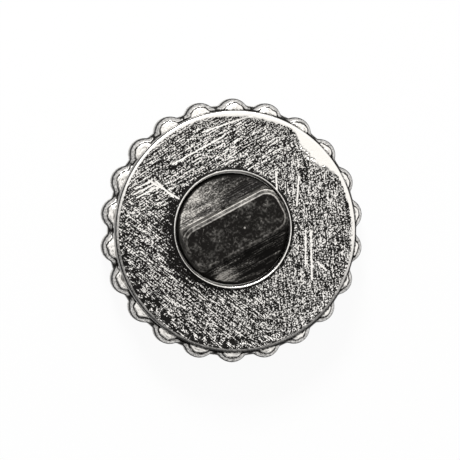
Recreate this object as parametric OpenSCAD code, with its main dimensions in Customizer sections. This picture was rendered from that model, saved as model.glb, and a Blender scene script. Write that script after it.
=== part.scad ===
// Round rhinestone button with a scalloped edge and a pressed-in tunnel shank.
// It lies on its stones, front down, with the origin on the table under its middle.
// The bar of the shank runs along X and its thread tunnel along Y.

/* [Casting] */
// Diameter over the edge cups
button_d = 25; // [25:0.5:30]
// Height of the back rim above the table
casting_h = 5; // [4.8:0.1:7]
// Distance from the tip of a cup in to the edge of the back plate
plate_inset = 1.15; // [1:0.05:1.3]
// Width of the rounded rim around the back plate
rim_w = 0.5; // [0.4:0.05:0.8]
// Depth of the rough back field below the rim
field_drop = 0.12; // [0.05:0.01:0.2]
// Metal above the points of the edge stones
dish_skin = 0.1; // [0.08:0.01:0.3]
// Distance from the tip of a cup in to the web between two cups
web_inset = 0.55; // [0.4:0.05:0.9]
// Thickness of that web
web_h = 0.7; // [0.4:0.05:1]

/* [Edge cups] */
// Angle of the first cup from the bar of the shank
cup_phase = 12.6; // [0:0.1:16]
// Wall of a cup around its stone
cup_wall = 0.25; // [0.2:0.01:0.25]
// Least gap between two cups
cup_gap = 0.05; // [0.02:0.01:0.06]
// Height of a stone's girdle above the lip of its cup
lip_drop = 0.05; // [0.02:0.01:0.1]
// Height of a cup's straight wall above its lip
cup_wall_h = 1.25; // [1:0.05:1.5]

/* [Stones] */
// Diameter of an edge stone
stone_d = 2.5; // [2.3:0.1:2.5]
// Height from an edge stone's table to its girdle
stone_crown = 0.5; // [0.4:0.05:0.7]
// Thickness of a stone's girdle
girdle_h = 0.12; // [0.08:0.01:0.2]
// Height from an edge stone's girdle to its point
stone_pavilion = 1.1; // [0.8:0.05:1.2]
// Width of an edge stone's table as a share of its diameter
edge_table = 0.55; // [0.45:0.01:0.65]
// Width of an edge stone's blunt point as a share of its diameter
edge_point = 0.08; // [0.04:0.01:0.12]
// Diameter of the centre stone
centre_d = 12.7; // [10:0.1:13]
// Thickness of the centre stone, which has a flat back
centre_h = 2.3; // [2:0.1:2.5]
// Height of the centre stone's table above the table top
centre_lift = 0.15; // [0.1:0.05:0.4]
// Width of the centre stone's table as a share of its diameter
centre_table = 0.58; // [0.5:0.01:0.65]
// Width over its upper facets as a share of its diameter
centre_facet_w = 0.88; // [0.84:0.01:0.92]
// Height of those facets' lower edge as a share of its thickness
centre_facet_h = 0.28; // [0.22:0.01:0.34]
// Height of its girdle's near edge as a share of its thickness
centre_girdle = 0.52; // [0.45:0.01:0.6]
// Wall of the bezel around the centre stone
bezel_wall = 0.6; // [0.4:0.05:0.9]
// Height of the bezel's lip above the table
bezel_z = 0.6; // [0.4:0.05:1]

/* [Shank] */
// Diameter of the shank's plug
shank_d = 10.5; // [9:0.1:12]
// Depth of the plug's seat below the back field
seat_depth = 1.5; // [1:0.1:1.6]
// Offset of the shank's seat along its bar
seat_x = -0.16; // [-0.5:0.02:0.5]
// Offset of the shank's seat across its bar
seat_y = 0.34; // [-0.5:0.02:0.5]
// Width of the bar
bar_w = 4.5; // [4:0.1:5.5]
// Height of the bar's flat top above the back field
bar_h = 2.45; // [2.4:0.05:4]
// Rounding along the bar's top edges
bar_round = 0.5; // [0.3:0.05:0.6]
// Rounding of the bar's corners in plan
bar_corner = 1; // [0.6:0.1:1.5]
// Distance from the plug's edge in to the bar's ends
bar_end = 0.12; // [0.08:0.02:0.4]
// Depth of a shoulder's edge below the back field
shoulder_drop = 0.25; // [0.15:0.05:0.5]
// Height of a shoulder at the bar above the back field
shoulder_rise = 0.2; // [0.1:0.01:0.22]
// Diameter of the thread tunnel
tunnel_d = 1.6; // [1.2:0.1:1.6]
// Height of the tunnel's centre above the back field
tunnel_z = 1.04; // [1.04:0.01:1.2]
// Depth of the flare at each mouth of the tunnel
tunnel_flare = 0.2; // [0.1:0.05:0.3]
// Width of the round lip around the seat
lip_w = 0.24; // [0.16:0.02:0.4]
// Height of the lip above the back field
lip_h = 0.06; // [0.03:0.01:0.1]

/* [Clearances] */
// Gap around the shank's plug in its seat
seat_gap = 0.14; // [0.05:0.01:0.2]
// Gap around each stone in its setting
stone_gap = 0.03; // [0.01:0.01:0.06]

/* [Hidden] */
$fn = 96;
setting_r = stone_d / 2 + stone_gap;
cup_r = setting_r + cup_wall;
cup_ring_r = button_d / 2 - cup_r;
cup_count = 2 * floor(90 / asin((cup_r + cup_gap / 2) / cup_ring_r));
cup_lip_z = stone_crown - lip_drop;
cup_dome_z = cup_lip_z + cup_wall_h;
ledge_z = stone_crown + girdle_h;
setting_top_z = ledge_z + stone_pavilion + stone_gap;
dish_z = setting_top_z + dish_skin;
plate_r = button_d / 2 - plate_inset;
web_r = button_d / 2 - web_inset;
field_z = casting_h - field_drop;
seat_z = field_z - seat_depth;
seat_r = shank_d / 2 + seat_gap;
pocket_r = centre_d / 2 + stone_gap;
pocket_z = centre_lift + centre_h;
shank_r = shank_d / 2;
bar_top_z = field_z + bar_h;
overcut = 1;
slice = 0.01;
round_steps = [0, 30, 60, 90];

function stone_name(i) = str("edge_stone_", i < 10 ? "0" : "", i);
// Points along an arc from one angle up to, and without, another.
function arc(centre, r, from, to, steps = 6) =
    [for (k = [0:steps - 1]) let (a = from + (to - from) * k / steps) centre + r * [cos(a), sin(a)]];
function cup_angle(i) = cup_phase + (i - 1) * 360 / cup_count;

// Places a child in the edge cup with this number.
module at_cup(i) {
    rotate(cup_angle(i)) translate([cup_ring_r, 0, 0]) children();
}

// Half section of the plate, its rim, the front dish and the bezel.
module plate_section() {
    polygon([
        [0, pocket_z],
        [pocket_r, pocket_z],
        [pocket_r, bezel_z],
        [pocket_r + bezel_wall, bezel_z],
        [pocket_r + bezel_wall, dish_z],
        [web_r, dish_z],
        [web_r, dish_z + web_h],
        [plate_r, dish_z + web_h + web_r - plate_r],
        [plate_r, casting_h - rim_w / 2],
        [plate_r - rim_w / 2, casting_h - rim_w / 2],
        [plate_r - rim_w / 2, field_z],
        [0, field_z]
    ]);
    translate([plate_r - rim_w / 2, casting_h - rim_w / 2]) circle(d = rim_w);
}

// Half section of one cup: a straight wall, a domed back and the setting of its stone.
module cup_section() difference() {
    union() {
        translate([0, cup_lip_z]) square([cup_r, cup_wall_h]);
        intersection() {
            translate([0, cup_dome_z]) circle(r = cup_r);
            translate([0, cup_dome_z]) square(cup_r);
        }
    }
    polygon([
        [0, cup_lip_z - overcut],
        [setting_r, cup_lip_z - overcut],
        [setting_r, ledge_z],
        [stone_d / 2 * edge_point + stone_gap, setting_top_z],
        [0, setting_top_z]
    ]);
}

// Round lip around the mouth of the shank's seat.
module seat_lip() {
    rotate_extrude() translate([seat_r + lip_w / 2, field_z + lip_h - lip_w / 2]) circle(d = lip_w);
}

module casting() color("silver") difference() {
    union() {
        rotate_extrude() plate_section();
        for (i = [1:cup_count]) at_cup(i) rotate_extrude() cup_section();
        translate([seat_x, seat_y, 0]) seat_lip();
    }
    translate([seat_x, seat_y, seat_z]) cylinder(r = seat_r, h = seat_depth + overcut);
}

// Cross-section of the plug: concave shoulders that rise to the bar.
module shoulder_section() {
    run = shank_r - bar_w / 2;
    rise = shoulder_rise + shoulder_drop;
    scoop_r = (run * run + rise * rise) / (2 * rise);
    difference() {
        translate([-shank_r, seat_z]) square([shank_d, seat_depth + shoulder_rise]);
        for (side = [-1, 1])
            translate([side * shank_r, field_z - shoulder_drop + scoop_r]) circle(r = scoop_r);
    }
}

// Outline of the bar in plan, drawn in by an inset: ends round the plug's axis, with round corners.
module bar_outline(inset) {
    corner = bar_corner + inset / 2;
    corner_y = bar_w / 2 - inset - corner;
    corner_ring_r = shank_r - bar_end - inset - corner;
    half_end = asin(corner_y / corner_ring_r);
    corner_x = corner_ring_r * cos(half_end);
    polygon(concat(
        arc([0, 0], corner_ring_r + corner, -half_end, half_end),
        arc([corner_x, corner_y], corner, half_end, 90),
        arc([-corner_x, corner_y], corner, 90, 180 - half_end),
        arc([0, 0], corner_ring_r + corner, 180 - half_end, 180 + half_end),
        arc([-corner_x, -corner_y], corner, 180 + half_end, 270),
        arc([corner_x, -corner_y], corner, 270, 360 - half_end)
    ));
}

module bar() {
    straight_h = seat_depth + bar_h - bar_round;
    translate([0, 0, seat_z]) linear_extrude(straight_h) bar_outline(0);
    hull() for (a = round_steps)
        translate([0, 0, bar_top_z - bar_round + bar_round * sin(a) - slice])
            linear_extrude(slice) bar_outline(bar_round * (1 - cos(a)));
}

// Thread tunnel across the bar, flared at both mouths.
module tunnel() {
    tunnel_r = tunnel_d / 2;
    translate([0, 0, field_z + tunnel_z]) rotate([90, 0, 0]) {
        cylinder(r = tunnel_r, h = shank_d, center = true);
        for (side = [0, 180]) rotate([side, 0, 0])
            translate([0, 0, bar_w / 2 - tunnel_flare])
                cylinder(r1 = tunnel_r, r2 = tunnel_r + tunnel_flare, h = tunnel_flare);
    }
}

module shank() color([0.2, 0.2, 0.18]) translate([seat_x, seat_y, 0]) difference() {
    union() {
        intersection() {
            rotate([90, 0, 90]) linear_extrude(shank_d, center = true) shoulder_section();
            translate([0, 0, seat_z]) cylinder(r = shank_r, h = seat_depth + bar_h);
        }
        bar();
    }
    tunnel();
}

// One level of a cut stone: a thin regular polygon.
module cut_level(r, z, sides) {
    translate([0, 0, z]) linear_extrude(slice) circle(r = r, $fn = sides);
}

// Large stone with a cut crown and a flat back.
module centre_stone() color([0.9, 0.93, 0.95]) {
    r = centre_d / 2;
    hull() {
        cut_level(r * centre_table, centre_lift, 12);
        cut_level(r * centre_facet_w, centre_lift + centre_h * centre_facet_h, 24);
        cut_level(r, centre_lift + centre_h * centre_girdle, 24);
        cut_level(r, centre_lift + centre_h - slice, 24);
    }
}

// Small stone with a cut crown, a thin girdle and a pointed back.
module edge_stone() color([0.9, 0.93, 0.95]) {
    r = stone_d / 2;
    hull() {
        cut_level(r * edge_table, 0, 8);
        cut_level(r, stone_crown, 16);
        cut_level(r, stone_crown + girdle_h - slice, 16);
        cut_level(r * edge_point, stone_crown + girdle_h + stone_pavilion - slice, 8);
    }
}

casting();
shank();
centre_stone();
for (i = [1:cup_count])
    at_cup(i) edge_stone();
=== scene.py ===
# %% [markdown]
# # A rhinestone button, seen from its back
# The button lies on its stones, with its dark shank up. Its back is cast metal with an antique
# finish: raised grain that was rubbed bright, and hollows that kept a black patina.
# Each step below makes one piece or one finish of it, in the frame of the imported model.

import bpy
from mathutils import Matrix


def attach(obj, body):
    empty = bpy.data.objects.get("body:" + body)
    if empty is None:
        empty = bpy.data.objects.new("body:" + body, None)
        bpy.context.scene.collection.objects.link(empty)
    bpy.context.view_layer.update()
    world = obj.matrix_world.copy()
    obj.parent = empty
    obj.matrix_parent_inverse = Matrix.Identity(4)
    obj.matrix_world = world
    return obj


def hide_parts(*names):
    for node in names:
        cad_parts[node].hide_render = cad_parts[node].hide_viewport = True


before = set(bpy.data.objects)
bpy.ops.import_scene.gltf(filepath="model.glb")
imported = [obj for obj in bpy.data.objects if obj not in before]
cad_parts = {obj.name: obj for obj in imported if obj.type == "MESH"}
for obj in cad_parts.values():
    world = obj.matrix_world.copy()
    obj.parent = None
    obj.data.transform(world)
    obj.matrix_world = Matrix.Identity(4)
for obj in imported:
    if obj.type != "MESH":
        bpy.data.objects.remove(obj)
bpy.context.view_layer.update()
print("nodes in the frame:", len(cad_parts))

# %% [markdown]
# ## Units, and the turn of the photograph
# The frame is in metres, but a button is thought of in millimetres, so each mesh is made in
# millimetres and scaled once at its end. In the photograph the bar of the shank rises to the
# right, so directions seen in it are turned by that angle to get the part's own directions.

# %% Units and directions
from math import atan2, cos, degrees, exp, floor, hypot, log, pi, radians, sin, sqrt

import bmesh
import bpy
from mathutils import Matrix, Vector, noise

MM = 0.001
BAR_ANGLE = radians(28)


def seen_from_camera(right, up):
    """A direction in the photograph's plane, as a direction of the part."""
    return Vector((right * cos(BAR_ANGLE) + up * sin(BAR_ANGLE),
                   up * cos(BAR_ANGLE) - right * sin(BAR_ANGLE), 0))


print("the photograph's right is", [round(c, 3) for c in seen_from_camera(1, 0)])

# %% [markdown]
# ## The sizes the pieces share
# These repeat the button's own sizes in millimetres. The seat of the shank is slightly off the
# middle of the plate, as on the real button, where the shank was pressed in by hand.

# %% Sizes
BUTTON_R = 12.5
PLATE_R, RIM_TOP, RIM_W = 11.35, 5.0, 0.5
FIELD_Z = 4.88
SEAT_R, SEAT_Z = 5.39, 3.38
SEAT_AT = Vector((-0.16, 0.34, 0))
LIP_W, LIP_H = 0.24, 0.06
PLUG_R, PLUG_EDGE_Z, SHOULDER_Z = 5.25, 4.63, 5.08
BAR_HALF_W, BAR_END_R, BAR_TOP = 2.25, 5.13, 7.33
TUNNEL_Z = 5.92
CUP_COUNT, CUP_R, CUP_PHASE = 22, 1.53, radians(12.6)
CUP_RING_R = BUTTON_R - CUP_R
CUP_LIP_Z, PITCH = 0.45, 2 * pi / CUP_COUNT
SETTING_R, LEDGE_Z, SETTING_TOP = 1.28, 0.62, 1.75
DISH_Z, WEB_R = 1.85, 11.95
POCKET_R, POCKET_Z, BEZEL_R, BEZEL_Z = 6.38, 2.45, 6.98, 0.6
print("cups at a pitch of", round(degrees(PITCH), 2), "degrees")

# %% [markdown]
# ## Helpers for meshes
# A turned shape starts as a few points of its half section and is spun round its axis. `arc`
# gives the points of a rounded edge. `spin_section` welds the seam of the spin, and
# `finish_piece` turns the normals outwards before it makes the object, because a spin can leave
# them inside out.

# %% Mesh helpers
def arc(centre, radius, start, end, steps):
    """Points of an arc in a half section, from one angle to another in degrees."""
    angles = [radians(start + (end - start) * k / steps) for k in range(steps + 1)]
    return [(centre[0] + radius * cos(a), centre[1] + radius * sin(a)) for a in angles]


def straight(start, end, steps):
    """Points between two points of a half section, without the ends."""
    across, rise = end[0] - start[0], end[1] - start[1]
    return [(start[0] + across * k / steps, start[1] + rise * k / steps) for k in range(1, steps)]


def spin_section(points, steps, closed):
    """A bmesh of a half section spun once round Z."""
    bm = bmesh.new()
    verts = [bm.verts.new((r, 0, z)) for r, z in points]
    pairs = list(zip(verts, verts[1:])) + ([(verts[-1], verts[0])] if closed else [])
    edges = [bm.edges.new(pair) for pair in pairs]
    bmesh.ops.spin(bm, geom=verts + edges, cent=(0, 0, 0), axis=(0, 0, 1), dvec=(0, 0, 0),
                   angle=2 * pi, steps=steps, use_merge=True, use_duplicate=False)
    bmesh.ops.remove_doubles(bm, verts=bm.verts, dist=1e-4)
    return bm


def finish_piece(name, bm, replaced, smooth_angle=35):
    bmesh.ops.recalc_face_normals(bm, faces=bm.faces)
    bmesh.ops.scale(bm, vec=(MM, MM, MM), verts=bm.verts)
    mesh = bpy.data.meshes.new(name)
    bm.to_mesh(mesh)
    bm.free()
    mesh.shade_smooth()
    mesh.set_sharp_from_angle(angle=radians(smooth_angle))
    piece = bpy.data.objects.new(name, mesh)
    bpy.context.scene.collection.objects.link(piece)
    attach(piece, "root")
    if replaced:
        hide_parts(replaced)
    triangles = sum(len(p.vertices) - 2 for p in mesh.polygons)
    print(name, "has", triangles, "triangles")
    return piece


def add_attribute(piece, name, values):
    """Keeps one number per vertex on a mesh for its material to read."""
    layer = piece.data.attributes.new(name=name, type="FLOAT", domain="POINT")
    layer.data.foreach_set("value", values)


def smooth_step(low, high, value):
    """0 below low, 1 above high, and a soft rise between them."""
    t = min(max((value - low) / (high - low), 0), 1)
    return t * t * (3 - 2 * t)


print("a quarter arc in 8 steps has", len(arc((0, 0), 1, 0, 90, 8)), "points")

# %% [markdown]
# ## The camera
# It looks down on the back from far away, so the round button stays round, and it leans over
# the button's left side by a few degrees, which is why the cups show more on that side. It is
# rolled until the bar rises to the right as in the photograph.

# %% Camera
CAMERA_FAR = 330 * MM
LEAN = radians(7.4)
FRAME_W = 43.75 * MM
SENSOR = 36
AIM_Z = 0.35 * MM
lean_to = seen_from_camera(-0.976, 0.220)
toward_camera = Vector((0, 0, cos(LEAN))) + sin(LEAN) * lean_to
aim = Vector((0, 0, AIM_Z))

camera = bpy.data.objects.new("camera", bpy.data.cameras.new("camera"))
camera.data.sensor_width = SENSOR
camera.data.lens = SENSOR * CAMERA_FAR / FRAME_W
camera.data.clip_start = 10 * MM
camera_back = toward_camera.normalized()
camera_right = seen_from_camera(0, 1).cross(camera_back).normalized()
camera_up = camera_back.cross(camera_right)
turn = Matrix((camera_right, camera_up, camera_back)).transposed().to_4x4()
camera.matrix_world = Matrix.Translation(aim + camera_back * CAMERA_FAR) @ turn
bpy.context.scene.collection.objects.link(camera)
bpy.context.scene.camera = camera
print("lens", round(camera.data.lens, 1), "mm")

# %% [markdown]
# ## The rough field of the back
# The field is covered with raised grain and long rubbed scratches. On the left the scratches
# fall to the right, at the top they rise, and on the right they run nearly upright. Each set
# of strokes has its angle, the side of the plate where it shows, and its strength in the
# finish. One function gives the height of the grain anywhere, so that the mesh can carry it
# as real relief, and the same number tells the finish where the metal was rubbed bright.

# %% Relief of the field
STROKES = [(32, (-0.45, 0.9), 1.9), (-38, (-0.8, -0.6), 1.9), (97, (0.95, 0.1), 1.15)]
STROKE_LONG, STROKE_WIDE, GRAIN = 0.8, 0.125, 0.15
GRAIN_SHARE, STROKE_SHARE = 0.45, 0.3
LEAST_WEIGHT, LEAST_SHARE = 0.02, 0.2
SCRATCHES = [((-9.5, 4.0), (-8.1, 4.7)), ((-9.6, 3.5), (-7.8, 4.4)), ((-9.3, 3.2), (-7.4, 4.2)),
             ((-8.2, 4.8), (-5.4, 3.1)), ((-7.5, 4.7), (-5.9, 3.2)), ((5.95, 5.2), (5.75, 2.4)),
             ((3.77, 5.6), (3.86, 3.9)), ((6.6, 0.1), (6.6, -3.1)), ((7.1, 0.0), (7.2, -4.6)),
             ((7.7, -2.9), (8.6, -3.7)), ((-3.2, 9.3), (2.4, 11.2)), ((-6.0, 6.3), (-1.2, 8.9))]
SCRATCH_W = 0.06


def photo_place(x, y):
    """Where a point of the part is in the photograph: to the right and up, in millimetres."""
    return x * cos(BAR_ANGLE) - y * sin(BAR_ANGLE), x * sin(BAR_ANGLE) + y * cos(BAR_ANGLE)


def stroke_height(x, y, angle):
    """Long narrow scratches that run along one direction."""
    along = x * cos(angle) + y * sin(angle)
    across = y * cos(angle) - x * sin(angle)
    return noise.noise(Vector((along / STROKE_LONG, across / STROKE_WIDE, angle * 7)))


def scratch(right, up):
    """1 on one of the few long scratches, falling to 0 beside it."""
    strongest = 0
    for (x1, y1), (x2, y2) in SCRATCHES:
        dx, dy = x2 - x1, y2 - y1
        t = min(max(((right - x1) * dx + (up - y1) * dy) / (dx * dx + dy * dy), 0), 1)
        away = hypot(right - x1 - t * dx, up - y1 - t * dy)
        if away < 3 * SCRATCH_W:
            strongest = max(strongest, 1 - smooth_step(SCRATCH_W * 0.4, SCRATCH_W * 2, away))
    return strongest


def stroke_shares(right, up):
    """How strongly each direction of strokes shows at a place; the squares add up to 1."""
    weights = [max(LEAST_WEIGHT, (right * side[0] + up * side[1]) / PLATE_R + 0.1) ** 2
               for _, side, _ in STROKES]
    total = sqrt(sum(weight ** 2 for weight in weights))
    return [weight / total for weight in weights]


def field_relief(x, y):
    """Height of the grain, from about -1 to 1."""
    right, up = photo_place(x, y)
    grain = noise.noise(Vector((x / GRAIN, y / GRAIN, 3)))
    shares = stroke_shares(right, up)
    strokes = sum(share * stroke_height(x, y, radians(angle) - BAR_ANGLE)
                  for share, (angle, _, _) in zip(shares, STROKES) if share > LEAST_SHARE)
    return GRAIN_SHARE * grain + STROKE_SHARE * strokes


print("relief at one point:", round(field_relief(8, 1), 3))

# %% [markdown]
# ## Where the field is painted light and where it is dark
# One patch of the field by the rim, on the side towards the lamp, is flattened and painted white
# as a highlight. Painted shade lies right by the shank's seat, the field is darker beside the seat
# on one side, and dark spots lie under the rim. These are soft shapes given by their angle round
# the plate, with edges that a noise makes ragged.

# %% Painted highlight and shade of the field
PATCH_AT, PATCH_WIDE, PATCH_DEEP = 45, 17, 1.05
TAIL_AT, TAIL_WIDE, TAIL_DEEP, EVERYWHERE_DEEP = 84, 22, 0.2, 0.14
LIT_AT, LIT_WIDE = 60, 85
HALO_AT, HALO_WIDE, HALO_LONG = 192, 80, 1.9
SPOTS_AT, SPOTS_WIDE, SPOTS_R = 230, 70, 9.2
CLOUD, PATINA_EVERYWHERE = 1.5, 0.09


def noise_at(x, y, size, layer):
    """Smooth noise from about -1 to 1 with a size in millimetres; each layer is another one."""
    return noise.noise(Vector((x / size, y / size, layer)))


def around(angle, middle, width):
    """1 at an angle round the plate in degrees, falling to 0 at a width from it."""
    return 1 - smooth_step(width * 0.3, width, abs((angle - middle + 180) % 360 - 180))


def rim_highlight_patch(r, angle, x, y):
    """1 where the field by the rim, on the lit side, is flattened and painted white as a highlight.
    """
    deep = (EVERYWHERE_DEEP + PATCH_DEEP * around(angle, PATCH_AT, PATCH_WIDE)
            + TAIL_DEEP * around(angle, TAIL_AT, TAIL_WIDE))
    ragged = 0.4 * noise_at(x, y, 0.5, 6) + 0.3 * noise_at(x, y, 0.16, 2)
    lit_side = around(angle, LIT_AT, LIT_WIDE)
    return lit_side * (1 - smooth_step(deep * 0.82, deep * 1.14, field_out - r + ragged * deep))


def patina_and_shade_shift(r, angle, from_seat, x, y):
    """How much darker the field is, where a positive number darkens: a cloud of patina, painted
    shade by the seat's lip, a darker band beside the seat, dark spots by the rim, and a little
    painted light on the side towards the lamp.
    """
    cloud = noise_at(x, y, CLOUD, 5)
    halo = around(angle, HALO_AT, HALO_WIDE) * (1 - smooth_step(0.2, HALO_LONG, from_seat))
    # painted shade in the groove by the seat's lip, weaker at the bottom right, which faces the
    # lamp
    ring_shade = (1 - smooth_step(0.06, 0.34, from_seat)) * (1 - 0.3 * around(angle, 290, 75))
    blot = max(noise_at(x, y, 0.45, 12) + 0.1, 0)
    spots = blot * around(angle, SPOTS_AT, SPOTS_WIDE) * smooth_step(SPOTS_R, SPOTS_R + 1.3, r)
    # painted light: the side towards the lamp is a little lighter
    side = cos(radians(angle - 65))
    darker = 0.13 * cloud + 0.6 * halo + 1.1 * ring_shade + 2.2 * spots - 0.03 * side
    return PATINA_EVERYWHERE + darker


print("patina beside the seat's left side:", round(patina_and_shade_shift(6, 190, 0.4, -5.9, -1.0), 2))

# %% [markdown]
# ## The back plate
# The plate is turned: a half section with the wall of the seat, its round lip, the field and
# the round bead of the rim is spun in many steps, so that the field has enough vertices for
# its relief. A spin has one axis, and the seat is off the middle, so the inner rings are then
# pushed over, all of the push at the lip and none at the rim. Every vertex keeps its wear
# together with its painted light and shade, how much fine grain the finish adds there, and
# the shares of the strokes.

# %% Back plate
PLATE_STEPS, FIELD_RINGS, RELIEF = 880, 76, 0.03
EDGE_EASE, LIP_EASE = 0.9, 0.25
PLATE_LOW, WALL_RINGS = 3.1, (4.6, 4.4, 3.9)
BEAD_LOW, SHADE_LOW, LIP_LOW = 4.65, 4.5, 4.8
UNDER_BEAD_SHADE, WALL_WEAR, SEAT_SHADE, SMOOTH_GRAIN = -0.2, 0.14, -1.5, 0.1


def rim_painted_light(angle):
    """Painted light on the rim's bead: silver on the side towards the lamp, and grey on the far
    side.
    """
    return max(0.1, 0.3 + 0.5 * cos(radians(angle - 75)))


def lip_painted_light(angle):
    """Painted light on the seat's lip: bright at the bottom right, and again at the upper left."""
    return 0.52 + 0.1 * cos(radians(angle + 70)) + 0.25 * around(angle, 130, 50)


lip_centre = (SEAT_R + LIP_W / 2, FIELD_Z + LIP_H - LIP_W / 2)
rim_centre = (PLATE_R - RIM_W / 2, RIM_TOP - RIM_W / 2)
lip_points = arc(lip_centre, LIP_W / 2, 180, 80, 7)
rim_points = arc(rim_centre, RIM_W / 2, 92, 0, 9)
field_in, field_out = lip_points[-1][0], rim_points[0][0]
plate_points = ([(SEAT_R, PLATE_LOW)] + lip_points
                + straight(lip_points[-1], rim_points[0], FIELD_RINGS) + rim_points
                + [(PLATE_R, z) for z in WALL_RINGS + (PLATE_LOW,)])

plate_bm = spin_section(plate_points, PLATE_STEPS, closed=True)
wear_light_and_shade, grain, shares = [], [], []
for vert in plate_bm.verts:
    x, y, z = vert.co
    r = hypot(x, y)
    pushed = 1 - min(max((r - field_in) / (field_out - field_in), 0), 1)
    x, y = x + pushed * SEAT_AT.x, y + pushed * SEAT_AT.y
    right, up = photo_place(x, y)
    angle = degrees(atan2(up, right))
    if field_in <= r <= field_out and z > FIELD_Z - 0.3:
        highlight_patch = rim_highlight_patch(r, angle, x, y)
        z = FIELD_Z + (lip_points[-1][1] - FIELD_Z) * (1 - smooth_step(0, LIP_EASE, r - field_in))
        z += (rim_points[0][1] - FIELD_Z) * max(1 - smooth_step(0, EDGE_EASE, field_out - r), highlight_patch)
        rough = (smooth_step(field_in, field_in + 0.06, r)
                 * (1 - smooth_step(field_out - 0.1, field_out, r)))
        relief = field_relief(x, y)
        mark = scratch(right, up)
        z += RELIEF * rough * ((1 - 0.8 * highlight_patch) * relief - 0.5 * mark)
        # grain minus patina and painted shade; the highlight patch and the painted light of the rim
        # and lip are added below
        tone_and_shade = relief - patina_and_shade_shift(r, angle, r - field_in, x, y)
        edge_painted_light = rim_painted_light(angle) if r > PLATE_R - 1 else lip_painted_light(angle)
        wear_light_and_shade.append(max(tone_and_shade + highlight_patch * 1.6, 2.4 * mark - 1.1) * rough + edge_painted_light * (1 - rough))
        grain.append(rough * (1 - 0.4 * highlight_patch) * (1 - 0.6 * mark))
    else:
        if r < field_out:
            # painted light on the lip, and painted shade down the seat's wall
            wear_light_and_shade.append(lip_painted_light(angle) if z > LIP_LOW else SEAT_SHADE)
        elif z > BEAD_LOW:
            # a dark line painted along the bead's outer edge, where it turns down
            outer_line = smooth_step(PLATE_R - 0.09, PLATE_R - 0.02, r)
            wear_light_and_shade.append(rim_painted_light(angle) - 0.9 * outer_line)
        else:
            # painted shade on the wall just under the bead, and a plain tone lower down
            wear_light_and_shade.append(UNDER_BEAD_SHADE if z > SHADE_LOW else WALL_WEAR)
        grain.append(SMOOTH_GRAIN)
    shares.append(stroke_shares(right, up))
    vert.co = (x, y, z)
back_plate = finish_piece("back_plate", plate_bm, "casting")
add_attribute(back_plate, "wear_light_and_shade", wear_light_and_shade)
add_attribute(back_plate, "grain", grain)
for number in range(len(STROKES)):
    add_attribute(back_plate, "strokes_%d" % number, [share[number] for share in shares])

# %% [markdown]
# ## The front shell
# The rest of the casting is plainer: the web between the cups, the dish that shows between the
# stones on the front, and the bezel that holds the centre stone. One more spin makes it.

# %% Front shell
SHELL_STEPS, ROUND, INSIDE_R, WEB_TOP = 264, 0.15, 8, 2.2
shell_points = ([(0, SEAT_Z), (INSIDE_R, SEAT_Z), (PLATE_R - 0.1, PLATE_LOW + 0.1),
                 (PLATE_R - 0.05, WEB_TOP + 0.1), (WEB_R - 0.1, WEB_TOP)]
                + arc((WEB_R - 0.2, DISH_Z + ROUND), ROUND, 0, -90, 4)
                + straight((WEB_R - 0.2, DISH_Z), (BEZEL_R, DISH_Z), 14) + [(BEZEL_R, DISH_Z)]
                + arc((BEZEL_R - ROUND, BEZEL_Z + ROUND), ROUND, 0, -90, 4)
                + arc((POCKET_R + ROUND, BEZEL_Z + ROUND), ROUND, -90, -180, 4)
                + [(POCKET_R, POCKET_Z), (0, POCKET_Z)])
shell_bm = spin_section(shell_points, SHELL_STEPS, closed=False)
front_shell = finish_piece("front_shell", shell_bm, "casting")
shell_tone_and_shade = []
for vert in front_shell.data.vertices:
    r = hypot(vert.co.x, vert.co.y) / MM
    # painted shade in the corner at the foot of the bezel and on the dish next to the cups
    shade_in_corner = (1 - smooth_step(0.05, 0.6, abs(r - BEZEL_R - 0.05))) * (vert.co.z > 1.2 * MM)
    shade_by_cups = smooth_step(9.3, 10.4, r)
    shell_tone_and_shade.append(0.75 - 0.6 * shade_in_corner - 0.45 * shade_by_cups)
add_attribute(front_shell, "wear_light_and_shade", shell_tone_and_shade)

# %% [markdown]
# ## The edge cups
# Each edge stone sits in its own cup. One cup is spun with its setting inside, then copied round
# the edge. Their domed backs ran together in the casting, so they come in the next piece.

# %% Edge cups
CUP_STEPS, FLANGE_H, FLANGE_ROUND = 64, 0.4, 0.1
CUP_WALL_R, CUP_TOP, FLANGE_R = 1.49, 1.96, CUP_R - 0.005
POINT_R, INNER_WEAR, OUTER_WEAR = 0.13, 0.22, 0.5
cup_points = ([(0, CUP_TOP), (CUP_WALL_R, CUP_TOP), (CUP_WALL_R, 1.3), (CUP_WALL_R + 0.01, 1.1)]
              + arc((FLANGE_R - FLANGE_ROUND, CUP_LIP_Z + FLANGE_H), FLANGE_ROUND, 90, 0, 3)
              + [(FLANGE_R, CUP_LIP_Z + 0.08), (CUP_R - 0.06, CUP_LIP_Z),
                 (SETTING_R + 0.04, CUP_LIP_Z), (SETTING_R, CUP_LIP_Z + 0.05),
                 (SETTING_R, LEDGE_Z), (POINT_R, SETTING_TOP), (0, SETTING_TOP)])
cups_bm = bmesh.new()
one_cup = spin_section(cup_points, CUP_STEPS, closed=False)
cup_mesh = bpy.data.meshes.new("one_cup")
one_cup.to_mesh(cup_mesh)
one_cup.free()
for number in range(CUP_COUNT):
    first = len(cups_bm.verts)
    cups_bm.from_mesh(cup_mesh)
    cups_bm.verts.ensure_lookup_table()
    fresh = cups_bm.verts[first:]
    bmesh.ops.translate(cups_bm, vec=(CUP_RING_R, 0, 0), verts=fresh)
    to_place = Matrix.Rotation(CUP_PHASE + number * PITCH, 3, "Z")
    bmesh.ops.rotate(cups_bm, cent=(0, 0, 0), matrix=to_place, verts=fresh)
bpy.data.meshes.remove(cup_mesh)
edge_cups = finish_piece("edge_cups", cups_bm, "casting")
cup_wear = [INNER_WEAR if v.co.z > 1.0 * MM else OUTER_WEAR for v in edge_cups.data.vertices]
add_attribute(edge_cups, "wear_light_and_shade", cup_wear)

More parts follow.
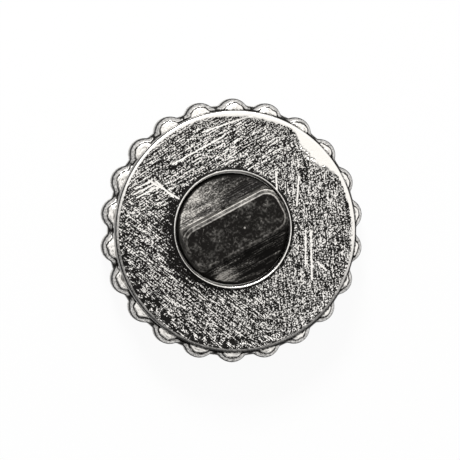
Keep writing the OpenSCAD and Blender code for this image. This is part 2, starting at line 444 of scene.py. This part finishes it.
# %% [markdown]
# ## The scalloped back of the edge
# From behind, the cups are one wavy border. Its outline follows the circles of the cups and
# dips to the web between them. A point's depth inside that outline gives its height, so the
# border swells over each cup, and the same depth places the groove that follows each scallop.

# %% Scalloped edge
EDGE_STEPS, EDGE_RINGS, EDGE_CROWDING = CUP_COUNT * 48, 46, 1.4
EDGE_IN, EDGE_FLOOR, EDGE_LOW, UNSHAPED_Z = PLATE_R - 0.25, 1.9, 2.0, 3
SWELL_H, SWELL_W, SWELL_POWER, BLEND, SCALLOP_R = 1.12, 0.85, 2.4, 0.06, 1.51
GROOVE_AT, INNER_AT, GROOVE_DEEP = 0.43, 0.70, 0.05
BORDER_TONE, UNDERSIDE_SHADE = 0.46, 0.25


def scallop_depth(x, y):
    """How far a point is inside the outline of the edge, and how far inside the nearest cup."""
    before = floor((atan2(y, x) - CUP_PHASE) / PITCH)
    in_cup = max(SCALLOP_R - hypot(x - CUP_RING_R * cos(CUP_PHASE + k * PITCH),
                                   y - CUP_RING_R * sin(CUP_PHASE + k * PITCH))
                 for k in (before, before + 1))
    in_web = WEB_R - 0.1 - hypot(x, y)
    return BLEND * log(exp(in_cup / BLEND) + exp(in_web / BLEND)), in_cup


def outline_radius(angle):
    """Where the outline of the edge is, at an angle round the button."""
    low, high = WEB_R - 0.3, BUTTON_R + 0.1
    for _ in range(18):
        middle = (low + high) / 2
        inside = scallop_depth(middle * cos(angle), middle * sin(angle))[0] > 0
        low, high = (middle, high) if inside else (low, middle)
    return low


outline = [outline_radius(2 * pi * k / EDGE_STEPS) for k in range(EDGE_STEPS)]
edge_points = ([(EDGE_IN, EDGE_FLOOR)]
               + [(EDGE_IN + 1 - (1 - k / EDGE_RINGS) ** EDGE_CROWDING, UNSHAPED_Z)
                  for k in range(EDGE_RINGS + 1)]
               + [(EDGE_IN + 1, EDGE_FLOOR)])
edge_bm = spin_section(edge_points, EDGE_STEPS, closed=True)
edge_tone_and_shade = []
for vert in edge_bm.verts:
    x, y, z = vert.co
    angle = atan2(y, x)
    reach = outline[round(angle / (2 * pi) * EDGE_STEPS) % EDGE_STEPS] - EDGE_IN
    r = EDGE_IN + (hypot(x, y) - EDGE_IN) * reach
    x, y = r * cos(angle), r * sin(angle)
    depth, in_cup = scallop_depth(x, y)
    wobble, ripple = noise_at(x, y, 0.55, 20), noise_at(x, y, 0.22, 23)
    wavy = depth + (0.13 * wobble + 0.04 * ripple) * smooth_step(0.1, 0.35, depth)
    groove = 1 - smooth_step(0.03, 0.1, abs(wavy - GROOVE_AT))
    broken = smooth_step(-0.1, 0.3, ripple + wobble)
    inner = (1 - smooth_step(0.02, 0.1, abs(wavy - INNER_AT))) * broken
    lobe = smooth_step(-0.15, 0.45, in_cup)
    if z > EDGE_LOW:
        swell = (1 - (1 - min(max(depth, 0) / SWELL_W, 1)) ** SWELL_POWER) ** (1 / SWELL_POWER)
        z = EDGE_LOW + SWELL_H * swell * (0.78 + 0.22 * lobe)
        z += (0.06 * wobble + 0.03 * ripple) * smooth_step(0.1, 0.5, depth)
        z -= GROOVE_DEEP * (groove + 0.6 * inner)
    # the swell inside the groove is lighter; painted shade darkens the outline where the border
    # turns down, and patina with painted shade darkens the grooves
    tone_and_shade = BORDER_TONE + 0.5 * smooth_step(GROOVE_AT, GROOVE_AT + 0.1, wavy)
    tone_and_shade -= 0.6 * (1 - smooth_step(0.02, 0.14, depth)) + 0.55 * groove + 0.5 * inner
    shade_band = 0.22 - 0.2 * (x * lean_to.x + y * lean_to.y) / r   # painted shade along the plate, wider on the side where the plate hides the border from the camera
    # painted shade in the valleys between the cups
    tone_and_shade -= 0.2 * (1 - lobe) + 0.4 * (1 - smooth_step(-0.3, 0.1, in_cup))
    tone_and_shade -= 0.8 * (1 - smooth_step(shade_band - 0.08, shade_band + 0.05, r - PLATE_R))
    # the underside gets painted shade
    edge_tone_and_shade.append(tone_and_shade if z > EDGE_FLOOR + 0.05 else UNDERSIDE_SHADE)
    vert.co = (x, y, z)
scalloped_edge = finish_piece("scalloped_edge", edge_bm, "casting")
add_attribute(scalloped_edge, "wear_light_and_shade", edge_tone_and_shade)

# %% [markdown]
# ## The centre stone and its foil
# A cut stone is the hull of a few rings of points: its table, the corners of its facets and its
# girdle. A rhinestone sparkles because its back is cut too and silvered, so a thin foil with the
# same facets lies behind the stone, and fills the pocket to its floor.

# %% Centre stone
STONE_R, STONE_LOW, STONE_HIGH, FLAT_ONLY = 6.33, 0.15, 2.44, 0.5
CROWN = [(3.7, STONE_LOW, 8, 0.0), (4.95, 0.62, 8, 0.5),
         (STONE_R, 1.28, 16, 0.25), (STONE_R, 1.5, 16, 0.25)]
BACK = [(6.25, 1.56, 16, 0.25), (4.6, 1.93, 8, 0.5), (2.9, 2.22, 8, 0.0), (1.2, 2.39, 8, 0.5)]


def ring_points(radius, z, count, offset):
    """Points of one ring of a cut stone, turned by a share of a step."""
    steps = [2 * pi * (k + offset) / count for k in range(count)]
    return [(radius * cos(a), radius * sin(a), z) for a in steps]


def hull(rings):
    """The convex hull of some rings of points."""
    bm = bmesh.new()
    for ring in rings:
        for point in ring_points(*ring):
            bm.verts.new(point)
    bmesh.ops.convex_hull(bm, input=bm.verts)
    return bm


before_foil = [(r - 0.03, z - 0.02, count, offset) for r, z, count, offset in BACK]
centre_crystal = finish_piece("centre_crystal", hull(CROWN + before_foil), "centre_stone",
                              smooth_angle=FLAT_ONLY)
foil_bm = hull(BACK)
flat = [face for face in foil_bm.faces if face.normal.z < -0.99]
bmesh.ops.delete(foil_bm, geom=flat, context="FACES_ONLY")
bmesh.ops.delete(foil_bm, geom=[e for e in foil_bm.edges if not e.link_faces], context="EDGES")
foil_rim = [e for e in foil_bm.edges if e.is_boundary]
skirt = bmesh.ops.extrude_edge_only(foil_bm, edges=foil_rim)["geom"]
for vert in (part for part in skirt if isinstance(part, bmesh.types.BMVert)):
    vert.co.z = STONE_HIGH
bmesh.ops.holes_fill(foil_bm, edges=[e for e in foil_bm.edges if e.is_boundary], sides=0)
stone_foil = finish_piece("stone_foil", foil_bm, "centre_stone",
                          smooth_angle=FLAT_ONLY)

# %% [markdown]
# ## The plug of the shank
# The shank is a dark moulded plug. Its two shoulders are scooped, and fine moulding lines run
# along the bar. A grid whose rows follow the bar takes those lines as relief, and each row is
# stretched to the chord of the circle at its place, which makes the grid a true disc.

# %% Shank plug
PLUG_ROWS, PLUG_COLUMNS, LINE_H, PLUG_ROUND = 300, 90, 0.022, 0.26
PLUG_SUNK, MOUTH_CLEAR = 0.1, 1.0
scoop_run = PLUG_R - BAR_HALF_W
scoop_rise = SHOULDER_Z - PLUG_EDGE_Z
SCOOP_R = (scoop_run ** 2 + scoop_rise ** 2) / (2 * scoop_rise)


def moulding_lines(x, y):
    """Fine lines along the bar, from about -1 to 1."""
    fine = noise.noise(Vector((x / 4, y / 0.13, 1)))
    return fine + 0.7 * noise.noise(Vector((x / 2.5, y / 0.35, 9)))


def shoulder_height(x, y):
    """Height of the plug's shoulders, with their moulding lines and the mouths of the tunnel."""
    inside = PLUG_R - hypot(x, y)
    into = min(max(PLUG_R - abs(y), 0), scoop_run)
    z = PLUG_EDGE_Z + SCOOP_R - sqrt(SCOOP_R ** 2 - into ** 2)
    z += LINE_H * moulding_lines(x, y) * smooth_step(0, 0.4, inside)
    if abs(x) < MOUTH_CLEAR and abs(y) > BAR_HALF_W - 0.3:
        z = min(z, TUNNEL_Z - sqrt(MOUTH_CLEAR ** 2 - x ** 2))
    curve = max(PLUG_ROUND - inside, 0)
    return z - PLUG_SUNK - (PLUG_ROUND - sqrt(max(PLUG_ROUND ** 2 - curve ** 2, 0)))


plug_bm = bmesh.new()
bmesh.ops.create_grid(plug_bm, x_segments=PLUG_COLUMNS, y_segments=PLUG_ROWS, size=1)
for vert in plug_bm.verts:
    rise = vert.co.y * pi / 2
    x, y = vert.co.x * PLUG_R * cos(rise), PLUG_R * sin(rise)
    vert.co = (x, y, shoulder_height(x, y))
bmesh.ops.remove_doubles(plug_bm, verts=plug_bm.verts, dist=1e-4)
edge_loop = [edge for edge in plug_bm.edges if edge.is_boundary]
skirt = bmesh.ops.extrude_edge_only(plug_bm, edges=edge_loop)["geom"]
for vert in (part for part in skirt if isinstance(part, bmesh.types.BMVert)):
    vert.co.z = SEAT_Z
bmesh.ops.holes_fill(plug_bm, edges=[e for e in plug_bm.edges if e.is_boundary], sides=0)

plug_light_and_shade = []
for vert in plug_bm.verts:
    x, y, z = vert.co
    right, up = photo_place(x, y)
    turned = degrees(atan2(up, right))
    upper = y > 0
    # painted light: the upper shoulder's left side and a patch at the lower left are bright;
    # painted shade darkens the lower shoulder under the bar and the upper shoulder at the upper
    # right
    glow = 0.5 * around(turned, 165, 70) * smooth_step(1.0, 4.4, hypot(x, y)) * (up > -2)
    glow += 1 - smooth_step(0.3, 1.9, hypot(right + 0.7, (up + 4.4) * 1.3))
    glow -= 0.3 * (y < 0) + 0.3 * around(turned, 70, 50) * upper
    cloud = noise.noise(Vector((x / 1.1, y / 0.8, 7)))
    # painted shade in the gap by the plug's rim
    in_shade = 1 - smooth_step(0.12, 0.34, PLUG_R - hypot(x, y))
    by_bar = 1 - smooth_step(0.6, 1.6, y - BAR_HALF_W)
    lines = (1.0 if y < 0 else 0.25 + 0.45 * by_bar) * moulding_lines(x, y)
    plug_light_and_shade.append(glow + lines + 0.35 * cloud - 1.2 * in_shade + 0.16)
bmesh.ops.translate(plug_bm, vec=SEAT_AT, verts=plug_bm.verts)
shank_plug = finish_piece("shank_plug", plug_bm, "shank")
add_attribute(shank_plug, "rubbed_and_lit", plug_light_and_shade)

# %% [markdown]
# ## The bar and its thread tunnel
# The bar starts as a block. Bevels round its corners in plan and its top edges, its ends are
# bent to follow the plug, and cuts across it give cells that can take small dents. For the
# tunnel, a square is opened in each long side, a circle is bridged to it, and the two circles
# are bridged through the bar.

# %% Shank bar
BAR_BOTTOM, BAR_LENGTH, EDGE_ROUND = 4.6, 4.3, 0.5
TOP_HALF_L, TOP_HALF_W, TOP_CORNER = 4.72, 1.75, 1.15
MOUTH_R, BORE_R, BORE_STEPS, SQUARE, CELL = 0.87, 0.8, 40, 0.9, 0.1
DRAFT, CORNER, WALL_OUTSIDE, MOUTH_OUTSIDE = 0.05, 0.3, 0.7, 0.22


def outside_top(x, y):
    """How far a point is outside the bar's flat top, a rectangle with round corners."""
    over_x = abs(x) - TOP_HALF_L + TOP_CORNER
    over_y = abs(y) - TOP_HALF_W + TOP_CORNER
    return hypot(max(over_x, 0), max(over_y, 0)) + min(max(over_x, over_y), 0) - TOP_CORNER


def cut(bm, at, normal):
    """Cuts every face of a bmesh along one plane."""
    bmesh.ops.bisect_plane(bm, geom=bm.verts[:] + bm.edges[:] + bm.faces[:], dist=1e-5,
                           plane_co=at, plane_no=normal)


bar_bm = bmesh.new()
bmesh.ops.create_cube(bar_bm, size=1)
block = (2 * BAR_LENGTH, 2 * BAR_HALF_W, BAR_TOP - BAR_BOTTOM)
bmesh.ops.scale(bar_bm, vec=block, verts=bar_bm.verts)
bmesh.ops.translate(bar_bm, vec=(0, 0, (BAR_TOP + BAR_BOTTOM) / 2), verts=bar_bm.verts)
upright = [e for e in bar_bm.edges if abs(e.verts[0].co.z - e.verts[1].co.z) > 1]
bmesh.ops.bevel(bar_bm, geom=upright, offset=CORNER, offset_type="OFFSET", segments=4,
                profile=0.5, affect="EDGES", material=-1)
for k in range(-40, 41):
    cut(bar_bm, (k * CELL, 0, 0), (1, 0, 0))
for k in range(-21, 22):
    cut(bar_bm, (0, k * CELL, 0), (0, 1, 0))
for z in (TUNNEL_Z - SQUARE, TUNNEL_Z, TUNNEL_Z + SQUARE):
    cut(bar_bm, (0, 0, z), (0, 0, 1))

opened = []
for face in bar_bm.faces:
    middle = face.calc_center_median()
    in_square = abs(middle.x) < SQUARE and abs(middle.z - TUNNEL_Z) < SQUARE
    if in_square and abs(face.normal.y) > 0.99:
        opened.append(face)
bmesh.ops.delete(bar_bm, geom=opened, context="FACES")
square_edges = [e for e in bar_bm.edges if e.is_boundary]
bores = []
for side in (-1, 1):
    on_side = Matrix.Translation((0, side * BAR_HALF_W, TUNNEL_Z)) @ Matrix.Rotation(pi / 2, 4, "X")
    rings = []
    for radius, depth in ((MOUTH_R, 0), (BORE_R + 0.03, 0.1), (BORE_R, 0.2)):
        inward = Matrix.Translation((0, -side * depth, 0)) @ on_side
        ring = bmesh.ops.create_circle(bar_bm, segments=BORE_STEPS, radius=radius,
                                       matrix=inward)["verts"]
        rings.append(list({e for v in ring for e in v.link_edges}))
    mine = [e for e in square_edges if e.is_valid and e.verts[0].co.y * side > 0]
    bmesh.ops.bridge_loops(bar_bm, edges=mine + rings[0])
    bmesh.ops.bridge_loops(bar_bm, edges=rings[0] + rings[1])
    bmesh.ops.bridge_loops(bar_bm, edges=rings[1] + rings[2])
    bores.append(rings[2])
bmesh.ops.bridge_loops(bar_bm, edges=bores[0] + bores[1])

outside, lit_edge = [], []
for vert in bar_bm.verts:
    x, y, z = vert.co
    bulge = smooth_step(2.6, BAR_LENGTH, abs(x)) * (sqrt(BAR_END_R ** 2 - y ** 2) - BAR_LENGTH)
    draft = DRAFT * (z - SHOULDER_Z) / (BAR_TOP - SHOULDER_Z)
    x, y = x * (1 - draft * 0.4) + (bulge if x > 0 else -bulge), y * (1 - draft)
    out = outside_top(x, y)
    # how much painted highlight the bar's edges take, most on the side towards the lamp
    right, up = photo_place(x, y * 2)
    lit_edge.append(smooth_step(-0.6, 1, cos(atan2(up, right) - radians(85))))
    if z > BAR_TOP - 0.01:
        round_off = min(max(out / (EDGE_ROUND - 0.05), 0), 1)
        dent = noise_at(x, y, 0.9, 4) + 0.5 * noise_at(x, y, 0.35, 8)
        z += (0.03 * dent - 0.045) * (1 - round_off) - EDGE_ROUND * (1 - sqrt(1 - round_off ** 2))
        outside.append(out)
    else:
        on_mouth = abs(hypot(vert.co.x, z - TUNNEL_Z) - MOUTH_R + 0.005) < 0.025
        outside.append(MOUTH_OUTSIDE if on_mouth else WALL_OUTSIDE)
    vert.co = (x, y, z)
bmesh.ops.translate(bar_bm, vec=SEAT_AT, verts=bar_bm.verts)
shank_bar = finish_piece("shank_bar", bar_bm, "shank", smooth_angle=40)
add_attribute(shank_bar, "outside", outside)
add_attribute(shank_bar, "lit_edge", lit_edge)
corners = sum(len(face.vertices) for face in shank_bar.data.polygons)
print("open edges left on the bar:", corners - 2 * len(shank_bar.data.edges))

# %% [markdown]
# ## Shader maths as Python
# A material is a graph of nodes. `Wire` wraps one output, so an expression such as
# `1 - mask * 0.5` adds its Math nodes by itself, and `Wire.node` makes any other node.

# %% Shader helper
class Wire:
    """An output of a shader node, with Python's operators on its value."""
    tree = None

    def __init__(self, socket):
        self.socket = socket

    @classmethod
    def node(cls, kind, values, out=0, **settings):
        """Makes a node, sets it up, and fills or links its inputs."""
        made = cls.tree.nodes.new("ShaderNode" + kind)
        for name, setting in settings.items():
            setattr(made, name, setting)
        for key, value in values.items():
            if isinstance(value, Wire):
                cls.tree.links.new(value.socket, made.inputs[key])
            else:
                made.inputs[key].default_value = value
        return cls(made.outputs[out])

    def maths(self, operation, first, second=0.0):
        return Wire.node("Math", {0: first, 1: second}, operation=operation)

    def __add__(self, other): return self.maths("ADD", self, other)
    def __radd__(self, other): return self.maths("ADD", other, self)
    def __sub__(self, other): return self.maths("SUBTRACT", self, other)
    def __rsub__(self, other): return self.maths("SUBTRACT", other, self)
    def __mul__(self, other): return self.maths("MULTIPLY", self, other)
    def __rmul__(self, other): return self.maths("MULTIPLY", other, self)
    def max(self, other): return self.maths("MAXIMUM", self, other)

    def step(self, low, high):
        """0 below low, 1 above high, and a soft rise between them."""
        return Wire.node("MapRange", {"Value": self, "From Min": low, "From Max": high},
                         interpolation_type="SMOOTHSTEP")


def mix_colour(mask, low, high):
    """One colour where the mask is 0 and another where it is 1."""
    return Wire.node("Mix", {0: mask, 6: low, 7: high}, out=2, data_type="RGBA")


def new_material(name):
    """An empty material whose nodes the Wire class adds to."""
    material = bpy.data.materials.new(name)
    material.use_nodes = True
    Wire.tree = material.node_tree
    Wire.tree.nodes.clear()
    return material


def to_output(shader, kind="Material"):
    """Links the last shader of a material or world to its output."""
    output = Wire.tree.nodes.new("ShaderNodeOutput" + kind)
    Wire.tree.links.new(shader.socket, output.inputs["Surface"])


def close_material(values):
    """Ends a material in one Principled shader."""
    to_output(Wire.node("BsdfPrincipled", values))


print("the helper adds nodes to whichever material was made last")

# %% [markdown]
# ## Antique silver
# The finish is one metal with two faces: silver where it was rubbed or a highlight is painted,
# and black where a patina or painted shade lies. Every piece of the casting reads the wear and
# the painted light and shade kept at each vertex. The field adds fine grain to that, and strokes
# in three directions, each by the share that the vertices keep.

# %% Antique silver
PATINA = (0.010, 0.0095, 0.009, 1)
SILVER = (0.90, 0.88, 0.85, 1)
PER_MM = 1 / MM
PATINA_ROUGH, SILVER_ROUGH, SKIN_GRAIN = 0.6, 0.28, 0.1
FIELD_GRAIN, FIELD_CONTRAST, LINE_WIDE, LINE_STRETCH = 0.115, 3.4, 0.1, (13, 1, 1)


def place():
    """The point on the piece, in the part's own coordinates."""
    return Wire.node("TexCoord", {}, out=3)


def speckle(size_mm, detail=2.0, stretch=(1, 1, 1), turned=0.0):
    """Noise from 0 to 1 whose grain has a size in millimetres."""
    at = Wire.node("Mapping", {"Vector": place(), "Rotation": (0, 0, turned), "Scale": stretch},
                   vector_type="TEXTURE")
    return Wire.node("TexNoise", {"Vector": at, "Scale": PER_MM / size_mm, "Detail": detail},
                     noise_dimensions="3D")


def kept(name):
    """The number that a mesh keeps per vertex under this name."""
    return Wire.node("Attribute", {}, out=2, attribute_name=name)


def fine_bump(size_mm, height_mm):
    """A normal bent by fine noise of a size and a height in millimetres."""
    return Wire.node("Bump", {"Height": speckle(size_mm, detail=3.0),
                              "Distance": height_mm * MM, "Strength": 1.0})


def antique_silver(mask, silver_rough=SILVER_ROUGH, bump_mm=0.01):
    """Silver where the mask is 1 and patina where it is 0, over a fine cast skin."""
    close_material({"Metallic": 1.0, "Base Color": mix_colour(mask, PATINA, SILVER),
                    "Normal": fine_bump(SKIN_GRAIN, bump_mm),
                    "Roughness": PATINA_ROUGH + mask * (silver_rough - PATINA_ROUGH)})


field_metal = new_material("antique_silver_field")
fine = (speckle(FIELD_GRAIN, detail=1.0) - 0.5) * FIELD_CONTRAST
for number, (angle, _, strength) in enumerate(STROKES):
    line = speckle(LINE_WIDE, detail=0.0, stretch=LINE_STRETCH, turned=radians(angle) - BAR_ANGLE)
    fine = fine + (line - 0.5) * kept("strokes_%d" % number) * strength
antique_silver((kept("wear_light_and_shade") + fine * kept("grain")).step(-0.12, 0.52), bump_mm=0.02)
back_plate.data.materials.append(field_metal)

shell_metal = new_material("antique_silver_shell")
shell_mask = (kept("wear_light_and_shade") + (speckle(0.4, detail=4.0) - 0.5) * 1.4).step(-0.4, 0.8)
antique_silver(shell_mask * 0.9)
front_shell.data.materials.append(shell_metal)

cup_metal = new_material("antique_silver_cups")
cup_mask = (kept("wear_light_and_shade") + (speckle(0.18) - 0.5) * 1.1).step(-0.1, 0.8)
antique_silver(cup_mask, silver_rough=0.22, bump_mm=0.006)
edge_cups.data.materials.append(cup_metal)
scalloped_edge.data.materials.append(cup_metal)

# %% [markdown]
# ## Dark plastic
# The shank is nearly black. Its top is matt from handling, with a faint mottle and hair
# scratches; its edges and the ridges of its moulding lines are rubbed to a glossy grey, and
# painted highlights brighten its edges on the side towards the lamp, while painted light and
# shade lie on the plug's shoulders.

# %% Dark plastic
SHADE, GREY_RUBBED_AND_LIT = (0.005, 0.0045, 0.004, 1), (0.46, 0.44, 0.41, 1)
MATT, GLOSSY, PLASTIC_IOR = 0.42, 0.27, 1.13
SPOT_RIGHT, SPOT_UP, SPOT_R = 0.81, 0.18, 0.05


def dark_plastic(light):
    """Black where light is 0 and grey where it is 1, for rubbed places and for painted light."""
    close_material({"Base Color": mix_colour(light, SHADE, GREY_RUBBED_AND_LIT),
                    "Normal": fine_bump(0.12, 0.012),
                    "Roughness": MATT - (MATT - GLOSSY) * light, "IOR": PLASTIC_IOR})


plug_plastic = new_material("dark_plastic_plug")
plug_light = (kept("rubbed_and_lit") + (speckle(0.11, stretch=(1.6, 1, 1)) - 0.5) * 2.4).step(-0.3, 1.35)
dark_plastic(plug_light * plug_light.max(0.35))
shank_plug.data.materials.append(plug_plastic)

bar_plastic = new_material("dark_plastic_bar")
mottle = (speckle(0.25, detail=3.0) - 0.5) * 0.7 + (speckle(1.1) - 0.5) * 0.6


def edge_line(middle, half_width, soft):
    """1 on a line that follows the bar's flat top at a distance outside it."""
    away = (kept("outside") - middle).max(middle - kept("outside"))
    return 1 - away.step(half_width, half_width + soft)


lit = kept("lit_edge")
on_top = 1 - kept("outside").step(-0.02, 0.04)
# painted highlights: the edge lines brighten by lit_edge towards the lamp, over a faint rubbed line
# all round
lines = (edge_line(0.02, 0.03, 0.06) * (0.1 + 0.5 * lit)
         + edge_line(0.22, 0.12, 0.1) * (0.1 + 0.08 * lit)
         + edge_line(0.36, 0.02, 0.05) * 0.46 * lit)
hair = (speckle(0.5, stretch=(1, 0.1, 1), turned=0.9).step(0.66, 0.74)
        + speckle(0.6, stretch=(1, 0.1, 1), turned=2.2).step(0.67, 0.76))
spot_at = seen_from_camera(SPOT_RIGHT, SPOT_UP) + SEAT_AT + Vector((0, 0, BAR_TOP - 0.03))
from_spot = Wire.node("VectorMath", {0: place(), 1: spot_at * MM}, out=1, operation="DISTANCE")
spot = 1 - from_spot.step(SPOT_R * MM, (SPOT_R + 0.09) * MM)
walls = kept("outside").step(0.45, 0.6) * 0.16
dark_plastic((lines + walls + mottle + 0.6 * spot + on_top * hair * 0.3).step(-0.04, 1.05))
shank_bar.data.materials.append(bar_plastic)

# %% [markdown]
# ## Crystal and foil
# The stones are clear glass. The foil behind the centre stone is bright silver, and its facets
# throw the light back through the stone.

# %% Crystal
GLASS_IOR = 1.56
crystal = new_material("crystal_stone")
glass_tone = mix_colour(speckle(2.0), (0.93, 0.95, 0.97, 1), (0.97, 0.98, 1.0, 1))
close_material({"Base Color": glass_tone, "Roughness": 0.01 + 0.02 * speckle(0.6),
                "Transmission Weight": 1.0, "IOR": GLASS_IOR})
centre_crystal.data.materials.append(crystal)

foil_metal = new_material("silvered_foil")
foil_tone = mix_colour(speckle(1.5), (0.80, 0.82, 0.85, 1), (0.93, 0.94, 0.95, 1))
close_material({"Base Color": foil_tone, "Metallic": 1.0,
                "Roughness": 0.03 + 0.03 * speckle(0.7)})
stone_foil.data.materials.append(foil_metal)

edge_stones = [node for name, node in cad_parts.items() if "edge_stone" in name]
for stone in edge_stones:
    stone.data.materials.clear()
    stone.data.materials.append(crystal)
print("edge stones of crystal:", len(edge_stones))

# %% [markdown]
# ## Floor, world and lamps
# The floor is pale paper that keeps the button's shadow. Seen by the camera, in a reflection or
# through the stones, it is lifted to the white of the photograph's page. The sky is brighter on
# the side of the key lamp, so the domes of the cups turn grey on the other side.

# %% Floor, world and lamps
FLOOR_HALF, PAGE, PAGE_SHARE, PAPER = 1.5, 0.974, 0.96, 0.85
IS_CAMERA, IS_GLOSSY, IS_TRANSMISSION = 0, 3, 6
DARK_SKY, LIT_SKY, SKY_STRENGTH = (0.11, 0.11, 0.11, 1), (1.0, 0.99, 0.97, 1), 1.1
floor_bm = bmesh.new()
bmesh.ops.create_grid(floor_bm, x_segments=1, y_segments=1, size=FLOOR_HALF)
floor_mesh = bpy.data.meshes.new("floor")
floor_bm.to_mesh(floor_mesh)
floor_bm.free()
pale_floor = bpy.data.objects.new("floor", floor_mesh)
bpy.context.scene.collection.objects.link(pale_floor)

floor_paint = new_material("pale_floor")
camera_ray, glossy_ray, passed_ray = (Wire.node("LightPath", {}, out=kind)
                                      for kind in (IS_CAMERA, IS_GLOSSY, IS_TRANSMISSION))
seen = camera_ray.max(glossy_ray).max(passed_ray) * PAGE_SHARE
matt = Wire.node("BsdfDiffuse", {"Color": (PAPER, PAPER, PAPER, 1)})
glow = Wire.node("Emission", {"Color": (PAGE, PAGE, PAGE, 1), "Strength": 1.0})
to_output(Wire.node("MixShader", {0: seen, 1: matt, 2: glow}))
pale_floor.data.materials.append(floor_paint)

world = bpy.data.worlds.new("studio")
world.use_nodes = True
bpy.context.scene.world = world
Wire.tree = world.node_tree
Wire.tree.nodes.clear()
to_key = (seen_from_camera(0.35, 0.95) * 0.9 + Vector((0, 0, 0.25))).normalized()
outward = Wire.node("TexCoord", {}, out=0)
facing = Wire.node("VectorMath", {0: outward, 1: to_key}, out=1, operation="DOT_PRODUCT")
sky = mix_colour(facing.step(-0.75, 0.25), DARK_SKY, LIT_SKY)
to_output(Wire.node("Background", {"Color": sky, "Strength": SKY_STRENGTH}), kind="World")


def lamp(name, right, up, height, size, power):
    """A square soft lamp that looks at the button, placed by the photograph's directions in mm."""
    data = bpy.data.lights.new(name, "AREA")
    data.size, data.energy = size * MM, power
    made = bpy.data.objects.new(name, data)
    at = (seen_from_camera(right, up) + Vector((0, 0, height))) * MM
    made.matrix_world = Matrix.Translation(at) @ at.to_track_quat("Z", "Y").to_matrix().to_4x4()
    bpy.context.scene.collection.objects.link(made)


lamp("key", right=-60, up=290, height=230, size=100, power=2.2)
bpy.context.scene.view_settings.view_transform = "Standard"
